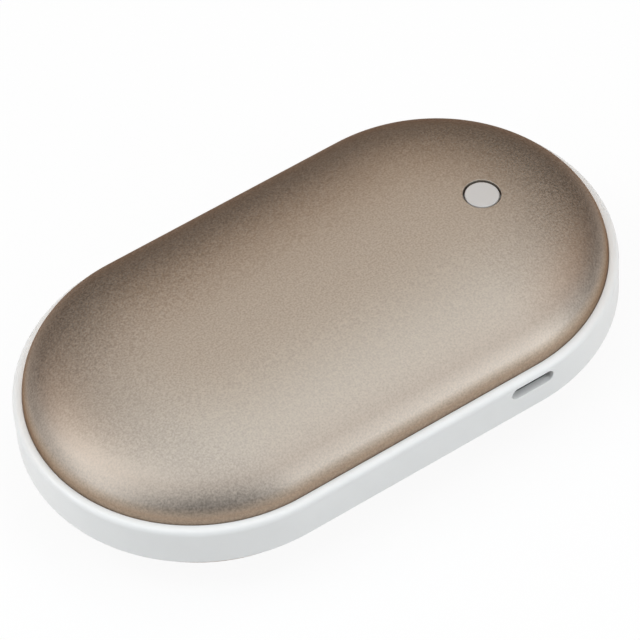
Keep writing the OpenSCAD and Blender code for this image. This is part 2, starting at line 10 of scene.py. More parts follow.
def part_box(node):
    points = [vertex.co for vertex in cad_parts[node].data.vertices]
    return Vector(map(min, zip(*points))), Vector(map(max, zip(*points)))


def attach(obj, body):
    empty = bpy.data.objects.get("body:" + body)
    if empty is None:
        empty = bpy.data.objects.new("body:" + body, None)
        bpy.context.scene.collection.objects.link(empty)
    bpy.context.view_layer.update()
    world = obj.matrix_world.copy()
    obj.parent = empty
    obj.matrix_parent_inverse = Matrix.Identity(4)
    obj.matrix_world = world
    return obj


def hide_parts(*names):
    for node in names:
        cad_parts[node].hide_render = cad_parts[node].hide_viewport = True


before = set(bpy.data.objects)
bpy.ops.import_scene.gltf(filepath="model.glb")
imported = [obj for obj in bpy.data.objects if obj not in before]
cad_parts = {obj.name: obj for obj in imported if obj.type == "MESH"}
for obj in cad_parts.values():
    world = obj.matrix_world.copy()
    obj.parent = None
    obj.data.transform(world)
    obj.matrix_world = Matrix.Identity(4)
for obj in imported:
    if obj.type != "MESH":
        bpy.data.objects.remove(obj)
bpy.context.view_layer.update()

MM = 0.001

# Outline and levels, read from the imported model
band_low, band_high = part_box("middle_frame")
shell_low, shell_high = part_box("top_shell")
OUTER_R = band_high.y
END_X = band_high.x - band_high.y
SHELL_R = shell_high.y
BAND_TOP = band_high.z
BAND_BOTTOM = band_low.z
MID_Z = (BAND_TOP + BAND_BOTTOM) / 2
HALF_BAND = (BAND_TOP - BAND_BOTTOM) / 2
DOME_H = shell_high.z - BAND_TOP
RIM_H = BAND_TOP - shell_low.z

# Sizes that the boxes don't show, as in the solid model
SHELL_T = 1 * MM
DOME_SPREAD = 2.8
DOME_RISE = 2.2
FRAME_WALL = 3.6 * MM
LIP_CORNER_R = 1 * MM
SEAT_DEPTH = 0.8 * MM
HOLE_R = 3.1 * MM
CAP_R = 2.8 * MM
CAP_RECESS = 0.15 * MM
COLLAR_T = 0.8 * MM
COLLAR_GAP = 0.1 * MM
STEM_R = 2 * MM
SLOT_W = 8 * MM
SLOT_H = 2.3 * MM
SOCKET_CLEAR = 0.2 * MM
SOCKET_T = 0.25 * MM
LUG_R = 2.5 * MM
LUG_H = 4 * MM
LUG_INSET = 5.8 * MM
LUG_SINK = 0.4 * MM
LUG_HOLE_R = 0.9 * MM
CRADLE_T = 1.5 * MM
SCREW_HEAD_R = 1.8 * MM

# Small roundings that only show in the looks, the hairline at a shell's foot, and the wall round
# the slot, which is 0.2 mm thinner than the solid model's and makes room for a black ring that
# paints the shade deep in the slot
HOLE_EDGE = 0.06 * MM
CAP_EDGE = 0.2 * MM
SLOT_EDGE = 0.12 * MM
LIP_EDGE = 0.1 * MM
FOOT_GAP = 0.04 * MM
SLOT_WALL = 1.4 * MM

# Steps of the meshes
END_STEPS = 96
SIDE_STEPS = 28
DOME_RINGS = 72
DOME_GRADING = 1.3
WALL_ROWS = 16
CORNER_STEPS = 8
LIP_EDGE_STEPS = 3
EDGE_STEPS = 4
LUG_STEPS = 24
BUTTON_STEPS = 96
CAP_RINGS = 6
CAP_EDGE_STEPS = 5
SHADE_RING_STEPS = (24, 12)


def stations():
    """Stops round the stadium outline, each as its centre's x and its direction. The sides run
    along the same x both ways, and the last stop of one stretch is the first of the next."""
    stops = []
    for i in range(END_STEPS):
        stops.append((END_X, math.pi * (i / END_STEPS - 0.5)))
    for i in range(SIDE_STEPS):
        stops.append((END_X * (1 - 2 * i / SIDE_STEPS), math.pi / 2))
    for i in range(END_STEPS):
        stops.append((-END_X, math.pi * (i / END_STEPS + 0.5)))
    for i in range(SIDE_STEPS):
        stops.append((END_X * (2 * i / SIDE_STEPS - 1), -math.pi / 2))
    return [(x, math.cos(a), math.sin(a)) for x, a in stops]


STATIONS = stations()


def from_middle(x, y):
    """Distance from the straight middle line that the outline goes round."""
    return math.hypot(max(abs(x) - END_X, 0), y)


def dome_z(r, inset):
    """Height of the dome above the band at r from the middle line, under a skin of inset."""
    share = min(r / (SHELL_R - inset), 1)
    return (DOME_H - inset) * (1 - share**DOME_SPREAD) ** (1 / DOME_RISE)


def dome_radii(inset):
    """Radii of the dome's rings, closer together towards the rim, where it turns down."""
    shares = [(i / DOME_RINGS) ** DOME_GRADING for i in range(1, DOME_RINGS + 1)]
    return [(SHELL_R - inset) * math.sin(math.pi / 2 * s) ** (2 / DOME_SPREAD) for s in shares]


def added(name, data):
    """A new object in the scene, from a mesh, a lamp or a camera."""
    obj = bpy.data.objects.new(name, data)
    bpy.context.scene.collection.objects.link(obj)
    return obj


class Mesh:
    """Collects vertices and faces, and makes them an object."""

    def __init__(self):
        self.points = []
        self.faces = []

    def add(self, points):
        """Adds points and returns their numbers."""
        start = len(self.points)
        self.points.extend(points)
        return list(range(start, len(self.points)))

    def strip(self, a, b, closed=True, flip=False):
        """Quads between two rows of equal length. Where two corners are one, a triangle."""
        count = len(a) if closed else len(a) - 1
        for i in range(count):
            j = (i + 1) % len(a)
            corners = [a[i], a[j], b[j], b[i]]
            face = [c for k, c in enumerate(corners) if c != corners[k - 1]]
            self.faces.append(face[::-1] if flip else face)

    def make(self, name, material, sharp_deg=40):
        """The object, smooth except over edges that turn by more than sharp_deg."""
        data = bpy.data.meshes.new(name)
        data.from_pydata([tuple(p) for p in self.points], [], self.faces)
        data.validate()
        data.shade_smooth()
        data.set_sharp_from_angle(angle=math.radians(sharp_deg))
        data.materials.append(material)
        return added(name, data)


def arc(centre, radius, start_deg, end_deg, steps):
    """Points (r, z) of an arc, both ends included."""
    turn_deg = end_deg - start_deg
    angles = [math.radians(start_deg + turn_deg * i / steps) for i in range(steps + 1)]
    return [(centre[0] + radius * math.cos(a), centre[1] + radius * math.sin(a)) for a in angles]


def window_ring(levels, first, last):
    """The points round a window in a grid: along its first level from stop first to last, then
    over the levels, back along the last one and home."""
    ring = levels[0][first:last]
    ring += [row[last] for row in levels[:-1]]
    ring += levels[-1][last:first:-1]
    ring += [row[first] for row in levels[:0:-1]]
    return ring


# The button's place, and its patch in the dome: how far the patch reaches round the end and from
# the end's centre, and its rings, closer together towards the hole
PATCH_DEG = 30
PATCH_SPAN = (4.6 * MM, 15.4 * MM)
PATCH_RINGS = 9
PATCH_GRADING = 1.6

button_low, button_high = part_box("power_button")
BUTTON_X = (button_low.x + button_high.x) / 2
COLLAR_R = (button_high.x - button_low.x) / 2


def dome_skin(mesh, inset, place, pierced, flip):
    """One face of a shell: rings round the stadium, closed along the middle line, and open
    round the button's hole where pierced. Returns the rim's row and the hole's row."""
    rows = []
    for r in dome_radii(inset):
        z = dome_z(r, inset)
        rows.append(mesh.add([place(x + r * c, r * s, z) for x, c, s in STATIONS]))
    middle_number = {}
    middle = []
    for x, _, _ in STATIONS:
        key = round(x / END_X, 6)
        if key not in middle_number:
            middle_number[key] = mesh.add([place(x, 0, dome_z(0, inset))])[0]
        middle.append(middle_number[key])
    mesh.strip(middle, rows[0], flip=not flip)
    quarter = END_STEPS // 2
    half_stops = round(PATCH_DEG / 180 * END_STEPS)
    first, last = quarter - half_stops, quarter + half_stops
    outside_radii = dome_radii(0)
    near, far = (
        min(range(DOME_RINGS), key=lambda j: abs(outside_radii[j] - r)) for r in PATCH_SPAN
    )
    for j in range(len(rows) - 1):
        if pierced and near <= j < far:
            outside = rows[j][last:] + rows[j][:first + 1]
            beyond = rows[j + 1][last:] + rows[j + 1][:first + 1]
            mesh.strip(outside, beyond, closed=False, flip=not flip)
        else:
            mesh.strip(rows[j], rows[j + 1], flip=not flip)
    if not pierced:
        return rows[-1], None
    ring = window_ring(rows[near:far + 1], first, last)
    edge_r = HOLE_R + (HOLE_EDGE if inset == 0 else 0)
    outline = [Vector(mesh.points[n][:2]) for n in ring]
    centre = Vector((BUTTON_X, 0))
    hole = [centre + edge_r * (p - centre).normalized() for p in outline]
    previous = ring
    for i in range(PATCH_RINGS - 1, -1, -1):
        share = (i / PATCH_RINGS) ** PATCH_GRADING
        points = [h.lerp(p, share) for h, p in zip(hole, outline)]
        row = mesh.add([place(p.x, p.y, dome_z(from_middle(p.x, p.y), inset)) for p in points])
        mesh.strip(previous, row, flip=not flip)
        previous = row
    return rows[-1], previous


def shell(name, up, pierced, material):
    """A domed shell with its rim, its inner face and, where pierced, the button's hole."""
    sign = 1 if up else -1
    base = BAND_TOP if up else BAND_BOTTOM
    mesh = Mesh()

    def place(x, y, z):
        return (x, y, base + sign * z)

    outer_rim, outer_hole = dome_skin(mesh, 0, place, pierced, flip=not up)
    inner_rim, inner_hole = dome_skin(mesh, SHELL_T, place, pierced, flip=up)
    low = [(SHELL_R, -RIM_H), (SHELL_R - SHELL_T, -RIM_H)]
    feet = [mesh.add([place(x + r * c, r * s, z) for x, c, s in STATIONS]) for r, z in low]
    for a, b in zip([outer_rim, *feet], [*feet, inner_rim]):
        mesh.strip(a, b, flip=up)
    if pierced:
        previous = outer_hole
        centre = Vector((BUTTON_X, 0))
        turns = [(Vector(mesh.points[n][:2]) - centre).normalized() for n in outer_hole]
        for r, z in arc((HOLE_R + HOLE_EDGE, -HOLE_EDGE), HOLE_EDGE, 90, 180, EDGE_STEPS)[1:]:
            row = []
            for n, turn in zip(outer_hole, turns):
                at = centre + r * turn
                row.append((at.x, at.y, mesh.points[n][2] + sign * z))
            row = mesh.add(row)
            mesh.strip(previous, row, flip=up)
            previous = row
        mesh.strip(previous, inner_hole, flip=up)
    return mesh.make(name, material)


def band_profile():
    """Closed section of the band as (r, height over its middle), from the outer bottom corner
    round to the inner wall, with the numbers of the first and last rows of both walls."""
    seat = HALF_BAND - SEAT_DEPTH
    inner_r = OUTER_R - FRAME_WALL
    lip_r = SHELL_R + FOOT_GAP
    seat_r = (lip_r + inner_r) / 2
    wall = HALF_BAND - LIP_CORNER_R
    corner_r = OUTER_R - LIP_CORNER_R
    edge_r = lip_r + LIP_EDGE
    edge = HALF_BAND - LIP_EDGE
    section = arc((corner_r, -wall), LIP_CORNER_R, -90, 0, CORNER_STEPS)
    outer_rows = [len(section) - 1, len(section) - 1 + WALL_ROWS]
    section += [(OUTER_R, wall * (2 * i / WALL_ROWS - 1)) for i in range(1, WALL_ROWS)]
    section += arc((corner_r, wall), LIP_CORNER_R, 0, 90, CORNER_STEPS)
    section += arc((edge_r, edge), LIP_EDGE, 90, 180, LIP_EDGE_STEPS)
    section += [(lip_r, seat), (seat_r, seat)]
    inner_rows = [len(section), len(section) + WALL_ROWS]
    section += [(inner_r, seat * (1 - 2 * i / WALL_ROWS)) for i in range(WALL_ROWS + 1)]
    section += [(seat_r, -seat), (lip_r, -seat)]
    section += arc((edge_r, -edge), LIP_EDGE, 180, 270, LIP_EDGE_STEPS)
    return section, outer_rows, inner_rows


# The charging slot's middle and the pocket behind it, from the steel socket
socket_low, socket_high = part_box("usb_shell")
SLOT_X = (socket_low.x + socket_high.x) / 2
SLOT_Z = (socket_low.z + socket_high.z) / 2
POCKET_W = socket_high.x - socket_low.x + 2 * SOCKET_CLEAR
POCKET_H = socket_high.z - socket_low.z + 2 * SOCKET_CLEAR

# The window that the slot's mesh has in the outer wall: how much wider than the slot it is, the
# rows of the lip's corner that it takes in, and its own rows, as shares of the way from the slot
SLOT_MARGIN = 0.6 * MM
WINDOW_CORNER_ROWS = 3
WINDOW_SHARES = (0.6, 0.3, 0)


def wall_y(x, z, inner):
    """Where the band's outer or inner wall is on the slot's side, also round its corners."""
    if inner:
        r = OUTER_R - FRAME_WALL
    else:
        over = max(abs(z - MID_Z) - (HALF_BAND - LIP_CORNER_R), 0)
        r = OUTER_R - LIP_CORNER_R + math.sqrt(max(LIP_CORNER_R**2 - over**2, 0))
    return -math.sqrt(r**2 - max(abs(x) - END_X, 0) ** 2)


def slot_outline(grow, across, up):
    """The slot's round-ended outline as (x, z): across steps along each long side and up steps
    round each end, starting at the long lower side's left end."""
    r = SLOT_H / 2 + grow
    half = (SLOT_W - SLOT_H) / 2
    points = [(SLOT_X - half + 2 * half * i / across, SLOT_Z - r) for i in range(across)]
    for i in range(up):
        a = math.pi * (i / up - 0.5)
        points.append((SLOT_X + half + r * math.cos(a), SLOT_Z + r * math.sin(a)))
    points += [(SLOT_X + half - 2 * half * i / across, SLOT_Z + r) for i in range(across)]
    for i in range(up):
        a = math.pi * (i / up + 0.5)
        points.append((SLOT_X - half + r * math.cos(a), SLOT_Z + r * math.sin(a)))
    return points


def pocket_outline(across, up):
    """The socket's rectangular pocket, with its steps as the slot's outline has them."""
    half_w, half_h = POCKET_W / 2, POCKET_H / 2
    points = [(SLOT_X - half_w + POCKET_W * i / across, SLOT_Z - half_h) for i in range(across)]
    points += [(SLOT_X + half_w, SLOT_Z - half_h + POCKET_H * i / up) for i in range(up)]
    points += [(SLOT_X + half_w - POCKET_W * i / across, SLOT_Z + half_h) for i in range(across)]
    points += [(SLOT_X - half_w, SLOT_Z + half_h - POCKET_H * i / up) for i in range(up)]
    return points


def lug_places():
    """The lugs' middles along X, under which the cradle's screws stand."""
    screw_low, screw_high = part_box("cradle_screws")
    return screw_low.x + SCREW_HEAD_R, screw_high.x - SCREW_HEAD_R


def lug(mesh, x, side):
    """One of the lugs inside the band that the cradle is screwed to, with its hole. It is round
    inwards, and its square end sinks into the band's wall."""
    y = side * (OUTER_R - LUG_INSET)
    root = LUG_INSET - FRAME_WALL + LUG_SINK
    low_z = BAND_BOTTOM + SEAT_DEPTH + CRADLE_T
    tiny = 0.01
    outline = []
    hole = []
    for i in range(LUG_STEPS):
        c, s = math.cos(2 * math.pi * i / LUG_STEPS), math.sin(2 * math.pi * i / LUG_STEPS)
        reach = min(LUG_R / max(abs(c), tiny), root / s) if s > tiny else LUG_R
        outline.append((x + reach * c, y + side * reach * s))
        hole.append((x + LUG_HOLE_R * c, y + side * LUG_HOLE_R * s))
    rows = []
    for z in (low_z, low_z + LUG_H):
        rows.append((mesh.add([(*p, z) for p in outline]), mesh.add([(*p, z) for p in hole])))
    flip = side < 0
    mesh.strip(rows[0][0], rows[1][0], flip=flip)
    mesh.strip(rows[1][0], rows[1][1], flip=flip)
    mesh.strip(rows[1][1], rows[0][1], flip=flip)
    mesh.strip(rows[0][1], rows[0][0], flip=flip)


def band(name, material):
    """The white band, with its seats for the shells, its lugs and the charging slot."""
    mesh = Mesh()
    section, outer_rows, inner_rows = band_profile()
    # The outline starts a quarter turn on, so that the slot's window doesn't cross its seam
    turn = END_STEPS // 2
    stops = STATIONS[turn:] + STATIONS[:turn]
    rows = [mesh.add([(x + r * c, r * s, MID_Z + z) for x, c, s in stops]) for r, z in section]
    low_z = SLOT_Z - SLOT_H / 2 - SLOT_MARGIN
    low_x = SLOT_X - SLOT_W / 2 - SLOT_MARGIN
    high_x = SLOT_X + SLOT_W / 2 + SLOT_MARGIN
    near_slot = {i: x + OUTER_R * c for i, (x, c, s) in enumerate(stops) if s < 0 and x > -END_X}
    first = max(i for i, x in near_slot.items() if x <= low_x)
    last = min(i for i, x in near_slot.items() if x >= high_x)
    near = max(j for j in range(*outer_rows) if MID_Z + section[j][1] <= low_z)
    far = outer_rows[1] + WINDOW_CORNER_ROWS
    inner_far = inner_rows[0]
    inner_near = inner_far + (far - near)
    for j in range(len(rows)):
        k = (j + 1) % len(rows)
        if near <= j < far or inner_far <= j < inner_near:
            outside = rows[j][last:] + rows[j][:first + 1]
            beyond = rows[k][last:] + rows[k][:first + 1]
            mesh.strip(outside, beyond, closed=False)
        else:
            mesh.strip(rows[j], rows[k])
    across, up = last - first, far - near
    outer_ring = window_ring(rows[near:far + 1], first, last)
    inner_ring = window_ring(rows[inner_near:inner_far - 1:-1], first, last)

    # From the window in the outer wall to the slot's rounded edge
    edge = slot_outline(SLOT_EDGE, across, up)
    frame_points = [(mesh.points[n][0], mesh.points[n][2]) for n in outer_ring]
    previous = outer_ring
    for share in WINDOW_SHARES:
        between = [
            (e[0] + share * (p[0] - e[0]), e[1] + share * (p[1] - e[1]))
            for e, p in zip(edge, frame_points)
        ]
        row = mesh.add([(x, wall_y(x, z, inner=False), z) for x, z in between])
        mesh.strip(previous, row)
        previous = row
    # Over the edge, in to the socket's pocket and on to the inner wall
    for grow, depth in arc((SLOT_EDGE, SLOT_EDGE), SLOT_EDGE, 270, 180, EDGE_STEPS)[1:]:
        outline = slot_outline(grow, across, up)
        row = mesh.add([(x, wall_y(x, z, inner=False) + depth, z) for x, z in outline])
        mesh.strip(previous, row)
        previous = row
    pocket = pocket_outline(across, up)
    for outline in (slot_outline(0, across, up), pocket):
        row = mesh.add([(x, SLOT_WALL - OUTER_R, z) for x, z in outline])
        mesh.strip(previous, row)
        previous = row
    row = mesh.add([(x, wall_y(x, z, inner=True), z) for x, z in pocket])
    mesh.strip(previous, row)
    mesh.strip(row, inner_ring)
    for x in lug_places():
        for side in (1, -1):
            lug(mesh, x, side)
    return mesh.make(name, material)


def slot_shade_ring(name, material):
    """A flat ring that fills the pocket in front of the socket, with a round-ended opening. Made
    black, it paints the shade deep in the slot.
    """
    mesh = Mesh()
    front, back = SLOT_WALL - OUTER_R, socket_low.y
    inside_h = socket_high.z - socket_low.z - 2 * SOCKET_T
    opening = slot_outline((inside_h - SLOT_H) / 2, *SHADE_RING_STEPS)
    rim = pocket_outline(*SHADE_RING_STEPS)
    rows = []
    for outline, y in ((rim, back), (rim, front), (opening, front), (opening, back)):
        rows.append(mesh.add([(x, y, z) for x, z in outline]))
    for a, b in zip(rows, rows[1:] + rows[:1]):
        mesh.strip(a, b)
    return mesh.make(name, material)


def collar_level():
    """Top of the button's collar, a small gap under the shell's inner face at its outer edge."""
    return BAND_TOP + dome_z(from_middle(BUTTON_X, 0) + COLLAR_R, SHELL_T) - COLLAR_GAP


def button(name, material):
    """The button: a cap that follows the dome, its collar and its stem."""
    mesh = Mesh()
    turns = [2 * math.pi * i / BUTTON_STEPS for i in range(BUTTON_STEPS)]

    def ring(r, height):
        points = []
        for t in turns:
            x, y = BUTTON_X + r * math.cos(t), r * math.sin(t)
            points.append((x, y, height(x, y)))
        return mesh.add(points)

    def face(drop):
        return lambda x, y: BAND_TOP + dome_z(from_middle(x, y), CAP_RECESS) - drop

    def level(z):
        return lambda x, y: z

    rows = [mesh.add([(BUTTON_X, 0, face(0)(BUTTON_X, 0))]) * BUTTON_STEPS]
    for i in range(1, CAP_RINGS + 1):
        rows.append(ring((CAP_R - CAP_EDGE) * i / CAP_RINGS, face(0)))
    for r, z in arc((CAP_R - CAP_EDGE, -CAP_EDGE), CAP_EDGE, 90, 0, CAP_EDGE_STEPS)[1:]:
        rows.append(ring(r, face(-z)))
    collar_z = collar_level()
    under_z = collar_z - COLLAR_T
    foot_z = button_low.z
    steps_down = [
        (CAP_R, collar_z),
        (COLLAR_R, collar_z),
        (COLLAR_R, under_z),
        (STEM_R, under_z),
        (STEM_R, foot_z),
    ]
    for r, z in steps_down:
        rows.append(ring(r, level(z)))
    rows.append(mesh.add([(BUTTON_X, 0, foot_z)]) * BUTTON_STEPS)
    for a, b in zip(rows, rows[1:]):
        mesh.strip(a, b, flip=True)
    return mesh.make(name, material, sharp_deg=50)


def shader(name, color, roughness, metallic=0.0):
    """A material with its node tree, its shader and its position in the part's own frame."""
    material = bpy.data.materials.new(name)
    material.use_nodes = True
    tree = material.node_tree
    bsdf = tree.nodes["Principled BSDF"]
    bsdf.inputs["Base Color"].default_value = (*color, 1)
    bsdf.inputs["Roughness"].default_value = roughness
    bsdf.inputs["Metallic"].default_value = metallic
    place = tree.nodes.new("ShaderNodeTexCoord").outputs["Object"]
    return material, tree, bsdf, place


def noise(tree, place, size, detail=2.0):
    """Noise whose features are about size metres wide."""
    node = tree.nodes.new("ShaderNodeTexNoise")
    node.inputs["Scale"].default_value = 1 / size
    node.inputs["Detail"].default_value = detail
    tree.links.new(place, node.inputs["Vector"])
    return node.outputs["Fac"]


# The stretch of its values that a noise mostly keeps to
NOISE_LOW = 0.3
NOISE_HIGH = 0.7


def spread(tree, value, low, high, start=NOISE_LOW, end=NOISE_HIGH):
    """Maps a value from start..end to low..high."""
    node = tree.nodes.new("ShaderNodeMapRange")
    for key, number in (("From Min", start), ("From Max", end), ("To Min", low), ("To Max", high)):
        node.inputs[key].default_value = number
    tree.links.new(value, node.inputs["Value"])
    return node.outputs["Result"]


def ramp(tree, value, stops):
    """A colour by value, between stops of a position and a colour."""
    node = tree.nodes.new("ShaderNodeValToRGB")
    elements = node.color_ramp.elements
    while len(elements) < len(stops):
        elements.new(0.5)
    for element, (position, color) in zip(elements, stops):
        element.position = position
        element.color = (*color, 1)
    tree.links.new(value, node.inputs["Fac"])
    return node.outputs["Color"]


def shaded(tree, value, color, low, high):
    """A colour times low to high, by a noise's value."""
    dark, light = (tuple(min(c * factor, 1) for c in color) for factor in (low, high))
    return ramp(tree, value, [(NOISE_LOW, dark), (NOISE_HIGH, light)])


def bump(tree, height, depth, bsdf, strength=1.0):
    """Turns the shader's normal by a height of depth metres."""
    node = tree.nodes.new("ShaderNodeBump")
    node.inputs["Strength"].default_value = strength
    node.inputs["Distance"].default_value = depth
    tree.links.new(height, node.inputs["Height"])
    tree.links.new(node.outputs["Normal"], bsdf.inputs["Normal"])


def math_node(tree, operation, value, other=0.0):
    """The result of an operation on a value, with a number or a second value."""
    node = tree.nodes.new("ShaderNodeMath")
    node.operation = operation
    tree.links.new(value, node.inputs[0])
    if isinstance(other, bpy.types.NodeSocket):
        tree.links.new(other, node.inputs[1])
    else:
        node.inputs[1].default_value = other
    return node.outputs["Value"]


def by_height(tree, place, stops):
    """A colour by height over the band, up on one shell and down on the other: stops are shares
    of the dome's height with their colours."""
    split = tree.nodes.new("ShaderNodeSeparateXYZ")
    tree.links.new(place, split.inputs["Vector"])
    height = math_node(tree, "ABSOLUTE", math_node(tree, "SUBTRACT", split.outputs["Z"], MID_Z))
    return ramp(tree, spread(tree, height, 0, 1, HALF_BAND, HALF_BAND + DOME_H), stops)


def multiplied(tree, color, factor):
    """A colour times a grey factor."""
    node = tree.nodes.new("ShaderNodeVectorMath")
    node.operation = "SCALE"
    tree.links.new(color, node.inputs["Vector"])
    tree.links.new(factor, node.inputs["Scale"])
    return node.outputs["Vector"]


# The shell's colour by share of the dome's height, browner towards the rim, and the blasted
# grain: its size and depth, and what it does to the colour and the roughness. All stops but the
# top one are rounded from a least-squares fit of renders to the photograph. They are partly the
# anodised tone and partly painted light and shade, for light that the lamps don't give.
SHELL_COLORS_AND_PAINTED_SHADE = [
    (0.06, (0.41, 0.32, 0.245)),
    (0.15, (0.41, 0.31, 0.23)),
    (0.25, (0.47, 0.38, 0.30)),
    (0.36, (0.48, 0.41, 0.35)),
    (0.59, (0.38, 0.32, 0.27)),
    (1.0, (0.45, 0.41, 0.36)),
]
SHELL_EDGE_TINT = (0.20, 0.08, 0.02)
SHELL_GRAIN = 0.32 * MM
SHELL_GRAIN_DEPTH = 0.016 * MM
SHELL_SHADE = (0.84, 1.16)
SHELL_ROUGHNESS = (0.45, 0.55)


def anodised_metal():
    """Sand-blasted aluminium, anodised in champagne brown. The blasted pits turn the light a
    little, each in its own way, and the dyed layer darkens what is seen at a flat angle. Its
    colour by height is partly the anodised tone and partly painted light and shade."""
    top_color = SHELL_COLORS_AND_PAINTED_SHADE[-1][1]
    material, tree, bsdf, place = shader("anodised_metal", top_color, 0.5, metallic=1.0)
    grain = noise(tree, place, SHELL_GRAIN, detail=1.0)
    # Colour by height: the anodised tone with painted light and shade, browner towards the rim
    tone_and_painted_shade = by_height(tree, place, SHELL_COLORS_AND_PAINTED_SHADE)
    color = multiplied(tree, tone_and_painted_shade, spread(tree, grain, *SHELL_SHADE))
    tree.links.new(color, bsdf.inputs["Base Color"])
    tree.links.new(spread(tree, grain, *SHELL_ROUGHNESS), bsdf.inputs["Roughness"])
    bump(tree, grain, SHELL_GRAIN_DEPTH, bsdf)
    bsdf.inputs["Specular Tint"].default_value = (*SHELL_EDGE_TINT, 1)
    return material


# Moulded plastic: the band's colour, which is from the same fit, the button's, and how uneven the
# mould leaves them
BAND_COLOR = (0.773, 0.762, 0.748)
BUTTON_COLOR = (0.50, 0.482, 0.468)
PLASTIC_CLOUD = 6 * MM
PLASTIC_SHADE = (0.985, 1.01)
PLASTIC_GRAIN = 0.15 * MM
PLASTIC_GRAIN_DEPTH = 0.004 * MM
PLASTIC_ROUGHNESS_SPREAD = 0.04


def satin_plastic(name, color, roughness):
    """Smooth moulded plastic, very slightly uneven, as an injection mould leaves it."""
    material, tree, bsdf, place = shader(name, color, roughness)
    cloud = noise(tree, place, PLASTIC_CLOUD)
    grain = noise(tree, place, PLASTIC_GRAIN, detail=1.0)
    tree.links.new(shaded(tree, cloud, color, *PLASTIC_SHADE), bsdf.inputs["Base Color"])
    low, high = roughness - PLASTIC_ROUGHNESS_SPREAD, roughness + PLASTIC_ROUGHNESS_SPREAD
    tree.links.new(spread(tree, grain, low, high), bsdf.inputs["Roughness"])
    bump(tree, grain, PLASTIC_GRAIN_DEPTH, bsdf, strength=0.3)
    return material


def milky_plastic():
    """The button's plastic, which lets a little light in and out again."""
    material = satin_plastic("milky_plastic", BUTTON_COLOR, 0.42)
    bsdf = material.node_tree.nodes["Principled BSDF"]
    bsdf.inputs["Subsurface Weight"].default_value = 0.25
    bsdf.inputs["Subsurface Radius"].default_value = (1, 0.95, 0.85)
    bsdf.inputs["Subsurface Scale"].default_value = 0.8 * MM
    return material


# How uneven the pieces inside are: their broad patches' size in grains, what these do to the
# colour and the grain to the roughness, and the grain's depth
INNER_PATCH = 12
INNER_SHADE = (0.9, 1.08)
INNER_ROUGHNESS_SPREAD = (-0.06, 0.08)
INNER_GRAIN_DEPTH = 0.01 * MM


def inner_material(name, color, roughness, metallic, grain):
    """A material for the pieces inside, uneven in colour and surface at their own scale."""
    material, tree, bsdf, place = shader(name, color, roughness, metallic)
    fine = noise(tree, place, grain, detail=3.0)
    broad = noise(tree, place, INNER_PATCH * grain)
    tree.links.new(shaded(tree, broad, color, *INNER_SHADE), bsdf.inputs["Base Color"])
    low, high = (roughness + change for change in INNER_ROUGHNESS_SPREAD)
    tree.links.new(spread(tree, fine, low, high), bsdf.inputs["Roughness"])
    bump(tree, fine, INNER_GRAIN_DEPTH, bsdf, strength=0.4)
    return material


# Colour, roughness, metallic and grain of the materials inside
INNER_LOOKS = {
    "black_moulding": ((0.022, 0.022, 0.024), 0.5, 0.0, 0.25 * MM),
    # Black for the ring in the slot's pocket: painted shade deep in the slot
    "slot_shade_black": ((0.012, 0.012, 0.013), 0.75, 0.0, 0.3 * MM),
    "grey_tape": ((0.10, 0.105, 0.11), 0.85, 0.0, 0.4 * MM),
    "amber_film": ((0.46, 0.14, 0.02), 0.3, 0.0, 0.6 * MM),
    "grey_foam": ((0.11, 0.115, 0.125), 0.95, 0.0, 0.5 * MM),
    "bare_can": ((0.52, 0.53, 0.55), 0.32, 1.0, 0.2 * MM),
    "blue_sleeve": ((0.03, 0.15, 0.42), 0.35, 0.0, 0.5 * MM),
    "nickel": ((0.60, 0.58, 0.54), 0.3, 1.0, 0.15 * MM),
    "card": ((0.66, 0.60, 0.42), 0.8, 0.0, 0.2 * MM),
    "green_board": ((0.015, 0.15, 0.06), 0.4, 0.0, 0.35 * MM),
    "stamped_steel": ((0.45, 0.46, 0.47), 0.34, 1.0, 0.12 * MM),
    "socket_steel": ((0.03, 0.03, 0.032), 0.5, 1.0, 0.12 * MM),
    "gold_plate": ((0.80, 0.55, 0.20), 0.28, 1.0, 0.1 * MM),
    "lamp": ((0.85, 0.83, 0.66), 0.3, 0.0, 0.2 * MM),
    "black_chip": ((0.015, 0.015, 0.016), 0.55, 0.0, 0.12 * MM),
    "ferrite": ((0.045, 0.05, 0.055), 0.6, 0.0, 0.2 * MM),
    "tan_ceramic": ((0.44, 0.26, 0.10), 0.45, 0.0, 0.15 * MM),
    "ivory_nylon": ((0.74, 0.70, 0.60), 0.5, 0.0, 0.25 * MM),
    "red_insulation": ((0.45, 0.025, 0.018), 0.45, 0.0, 0.3 * MM),
    "black_insulation": ((0.014, 0.014, 0.015), 0.45, 0.0, 0.3 * MM),
    "tinned_wire": ((0.62, 0.61, 0.58), 0.35, 1.0, 0.1 * MM),
}

# The nodes that each of these materials goes on. The black for the slot's painted shade goes on
# the ring in the socket's pocket.
NODES_BY_LOOK = {
    "black_moulding": ["button_guide", "battery_cradle", "usb_tongue", "switch_case"],
    "grey_tape": ["top_adhesive", "bottom_adhesive"],
    "amber_film": ["top_heater_film", "bottom_heater_film"],
    "grey_foam": ["top_foam_pad", "bottom_foam_pad"],
    "bare_can": ["cell_left", "cell_right"],
    "blue_sleeve": ["cell_sleeves"],
    "nickel": ["cell_terminals", "nickel_strips"],
    "card": ["cell_insulators"],
    "green_board": ["main_board"],
    "stamped_steel": ["switch_dome", "cradle_screws", "board_screws"],
    "socket_steel": ["usb_shell"],
    "gold_plate": ["usb_contacts"],
    "lamp": ["indicator_leds"],
    "black_chip": ["controller_chip", "heater_transistors", "thermistor"],
    "ferrite": ["boost_inductor"],
    "tan_ceramic": ["board_capacitors"],
    "ivory_nylon": ["switch_plunger", "heater_sockets", "heater_plugs"],
    "red_insulation": ["positive_lead", "top_heater_leads"],
    "black_insulation": ["negative_lead", "bottom_heater_leads"],
    "tinned_wire": ["thermistor_leads"],
}


